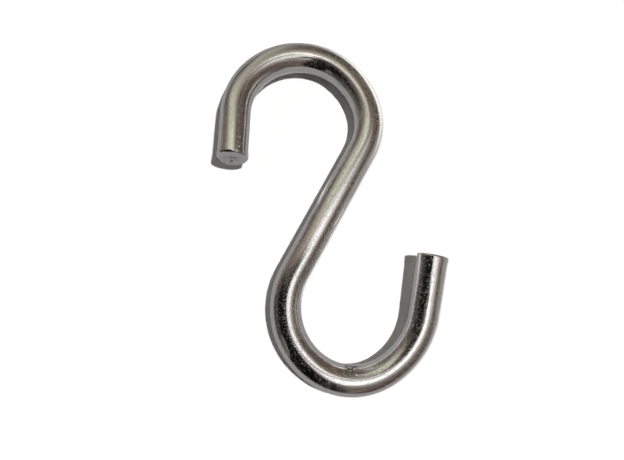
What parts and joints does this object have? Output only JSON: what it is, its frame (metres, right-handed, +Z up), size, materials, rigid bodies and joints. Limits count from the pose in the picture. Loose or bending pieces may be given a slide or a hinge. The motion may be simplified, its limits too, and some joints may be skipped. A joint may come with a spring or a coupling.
{
  "type": "s hook",
  "caption": "Open S-shaped hook bent from round bright-plated steel wire with sheared ends, for hanging or linking chain, rings and rods.",
  "frame": {"origin": "on the surface that the hook lies on, under the middle of its outline", "axes": "+Y along the hook's length towards its smaller, upper eye; +X across it, away from the upper tip and towards the lower one; +Z up, square to the plane of the shank and crowns"},
  "size_m": [0.045, 0.0706, 0.0091],
  "materials": {
    "plated_steel": "bright zinc plate on drawn steel wire, finely pitted, with matt sheared ends"
  },
  "bodies": {
    "root": {"hook": "plated_steel"}
  },
  "joints": []
}
